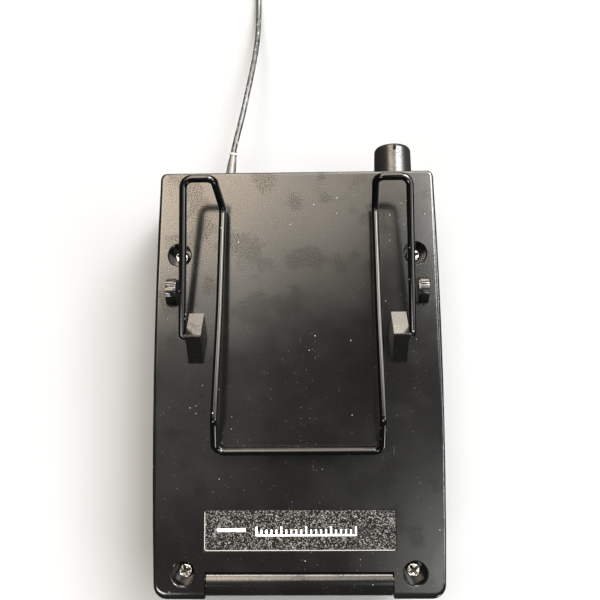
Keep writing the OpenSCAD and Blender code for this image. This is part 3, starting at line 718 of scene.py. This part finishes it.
def cell_sleeve():
    """Printed battery sleeve: dark body, copper band towards the antenna end and bare steel ends."""
    f = Finish("cell_sleeve", (0.02, 0.022, 0.026), 0.28)
    along = f.axis("Y")
    band = f.maths("MULTIPLY", f.span(along, -8, -7.9), f.span(along, 5.2, 5.1))
    ends = f.maths("MAXIMUM", f.span(along, 5.9, 6.0), f.span(along, -42.6, -42.7))
    scuff = f.noise(1.5, detail=5)
    body = f.mix(band, (0.014, 0.016, 0.02), (0.42, 0.2, 0.09))
    body = f.mix(f.span(scuff, 0.55, 0.8, 0, 0.4), body, (0.2, 0.19, 0.18))
    f.colour(f.mix(ends, body, (0.62, 0.62, 0.6)))
    f.tree.links.new(ends, f.shader.inputs["Metallic"])
    f.roughness(f.span(scuff, 0.3, 0.7, 0.22, 0.36))
    f.bump((f.noise(3), 0.08, 0.02))
    return f.material


def lcd_glass():
    """Pale green liquid crystal panel with a faint grid."""
    f = Finish("lcd", (0.3, 0.34, 0.28), 0.25)
    grid = f.node("ShaderNodeTexBrick", {"Vector": f.place, "Scale": 1.2, "Mortar Size": 0.03},
                  offset=0.0).outputs["Fac"]
    f.colour(f.mix(grid, (0.32, 0.37, 0.3), (0.24, 0.28, 0.23)))
    f.roughness(f.span(f.noise(2), 0.3, 0.7, 0.2, 0.3))
    return f.material


def clear_window():
    """Clear acrylic with faint dust."""
    f = Finish("window", (0.75, 0.78, 0.78), 0.06, Transmission_Weight=1.0, IOR=1.49)
    dust = f.dots(1.2, (0.12, 0.08), (0.8, 0.84))
    f.colour(f.mix(dust, (0.75, 0.78, 0.78), (0.4, 0.4, 0.38)))
    f.roughness(f.maths("MAXIMUM", f.span(f.noise(0.6), 0.3, 0.7, 0.03, 0.1), dust))
    return f.material


def led_lens():
    """Pale green lens of the indicator, a little cloudy."""
    f = Finish("led_lens", (0.55, 0.8, 0.6), 0.12, Transmission_Weight=0.6, IOR=1.5)
    f.colour(f.mix(f.noise(1.2), (0.45, 0.75, 0.5), (0.65, 0.88, 0.7)))
    f.roughness(f.span(f.noise(3), 0.3, 0.7, 0.08, 0.2))
    return f.material


def foam():
    """Open-celled foam, with painted shade in its pits."""
    f = Finish("foam", (0.05, 0.05, 0.052), 0.95, Sheen_Weight=0.2)
    distance, _ = f.cells(2.4)
    # Painted shade: the colour is darkest at the bottom of the pits that the relief below makes.
    f.colour(f.mix(f.span(distance, 0.1, 0.5), (0.015, 0.015, 0.016), (0.075, 0.075, 0.078)))
    f.bump((distance, 0.9, 0.25))
    return f.material


def segment_ink():
    """Nearly black liquid crystal."""
    f = Finish("segment_ink", (0.02, 0.022, 0.022), 0.35)
    f.colour(f.mix(f.noise(3), (0.015, 0.017, 0.017), (0.035, 0.038, 0.037)))
    return f.material


def floor_paper():
    """Plain pale grey paper, hardly mottled. The strong light makes it look white."""
    f = Finish("floor", (0.24, 0.246, 0.256), 0.8, Specular_IOR_Level=0.1)
    f.colour(f.mix(f.noise(0.02, detail=2), (0.242, 0.248, 0.258), (0.238, 0.244, 0.254)))
    return f.material


# One finish for each material slot of the record
MATERIALS = {
    "case_plastic": dusty_plastic("case_plastic", (0.0035, 0.0034, 0.0032), 0.13),
    "panel_plastic": dusty_plastic("panel_plastic", (0.03, 0.03, 0.032), 0.42, dust=0.4, grain=2),
    "clip_wire": coated_wire(),
    "screw_steel": metal("screw_steel", (0.5, 0.48, 0.44), 0.22, stain=0.5),
    "label": grained_label(),
    "bright_steel": metal("bright_steel", (0.66, 0.66, 0.65), 0.25, brushed=(1, 0.1, 1)),
    "foam": foam(),
    "latch_plastic": dusty_plastic("latch_plastic", (0.03, 0.03, 0.03), 0.4, dust=0.5, grain=2),
    "cell_sleeve": cell_sleeve(),
    "gold_contact": metal("gold_contact", (0.83, 0.62, 0.27), 0.2),
    "wire_red": soft_plastic("wire_red", (0.42, 0.02, 0.015), 0.4),
    "board": circuit_board(),
    "chip": soft_plastic("chip", (0.025, 0.025, 0.026), 0.5, relief=0.2),
    "lcd": lcd_glass(),
    "window": clear_window(),
    "key_rubber": soft_plastic("key_rubber", (0.035, 0.035, 0.037), 0.6, relief=0.2),
    "knob_plastic": dusty_plastic("knob_plastic", (0.008, 0.0078, 0.0076), 0.27, dust=0.3, grain=0.8),
    "led_lens": led_lens(),
    "antenna_plastic": antenna_plastic(),
}


def paint(obj, material):
    """Give an object this material alone."""
    obj.data.materials.clear()
    obj.data.materials.append(material)


for node_obj in NODES.values():
    slot_name = node_obj.data.materials[0].name
    paint(node_obj, MATERIALS[slot_name])
paint(NODES["antenna_boot"], antenna_sleeve())
paint(clip_wire, MATERIALS["clip_wire"])
paint(antenna_wire, MATERIALS["antenna_plastic"])
paint(screw_set, head_steel())
paint(lcd_segments, segment_ink())
ink = white_ink()
for printed in [label_print, *key_marks]:
    paint(printed, ink)
paint(floor, floor_paper())


# ---------- shading of the CAD pieces ----------

# Points closer than this are joined, in metres
WELD = 0.002 * MM
# Edges that turn by more stay sharp, by more are bevelled, and by less are dissolved, in degrees
SHARP_ANGLE = 32
BEVEL_ANGLE = 35
FLAT_ANGLE = 0.4
# Width of the bevel on the outer pieces, in millimetres
BEVELS = {"back_case": 0.12, "front_case": 0.12, "battery_door": 0.12, "label_plate": 0.08}


def smooth_group(angle):
    """Geometry nodes that join doubled points and shade smooth, except across edges sharper than angle."""
    group = bpy.data.node_groups.new("smooth_by_angle", "GeometryNodeTree")
    group.interface.new_socket("Geometry", in_out="INPUT", socket_type="NodeSocketGeometry")
    group.interface.new_socket("Geometry", in_out="OUTPUT", socket_type="NodeSocketGeometry")
    new = group.nodes.new
    link = group.links.new
    start, end = new("NodeGroupInput"), new("NodeGroupOutput")
    merge = new("GeometryNodeMergeByDistance")
    merge.inputs["Distance"].default_value = WELD
    faces = new("GeometryNodeSetShadeSmooth")
    faces.domain = "FACE"
    edges = new("GeometryNodeSetShadeSmooth")
    edges.domain = "EDGE"
    edges.inputs["Shade Smooth"].default_value = False
    turn = new("GeometryNodeInputMeshEdgeAngle")
    sharp = new("FunctionNodeCompare")
    sharp.operation = "GREATER_THAN"
    sharp.inputs[1].default_value = math.radians(angle)
    link(start.outputs[0], merge.inputs["Geometry"])
    link(merge.outputs["Geometry"], faces.inputs["Geometry"])
    link(faces.outputs["Geometry"], edges.inputs["Geometry"])
    link(turn.outputs["Unsigned Angle"], sharp.inputs[0])
    link(sharp.outputs["Result"], edges.inputs["Selection"])
    link(edges.outputs["Geometry"], end.inputs[0])
    return group


SMOOTH = smooth_group(SHARP_ANGLE)


def soften(obj, bevel):
    """Smooth shading, and a small bevel on the sharp edges of the outer pieces."""
    if "custom_normal" in obj.data.attributes:
        obj.data.attributes.remove(obj.data.attributes["custom_normal"])
    if bevel:
        weld = obj.modifiers.new("weld", "WELD")
        weld.merge_threshold = WELD
        flat = obj.modifiers.new("flat", "DECIMATE")
        flat.decimate_type = "DISSOLVE"
        flat.angle_limit = math.radians(FLAT_ANGLE)
        edge = obj.modifiers.new("edge", "BEVEL")
        edge.width = bevel * MM
        edge.segments = 2
        edge.limit_method = "ANGLE"
        edge.angle_limit = math.radians(BEVEL_ANGLE)
        edge.use_clamp_overlap = True
    smooth = obj.modifiers.new("smooth", "NODES")
    smooth.node_group = SMOOTH
    level = obj.modifiers.new("level", "WEIGHTED_NORMAL")
    level.keep_sharp = True


for node_name, node_obj in NODES.items():
    soften(node_obj, BEVELS.get(node_name, 0))
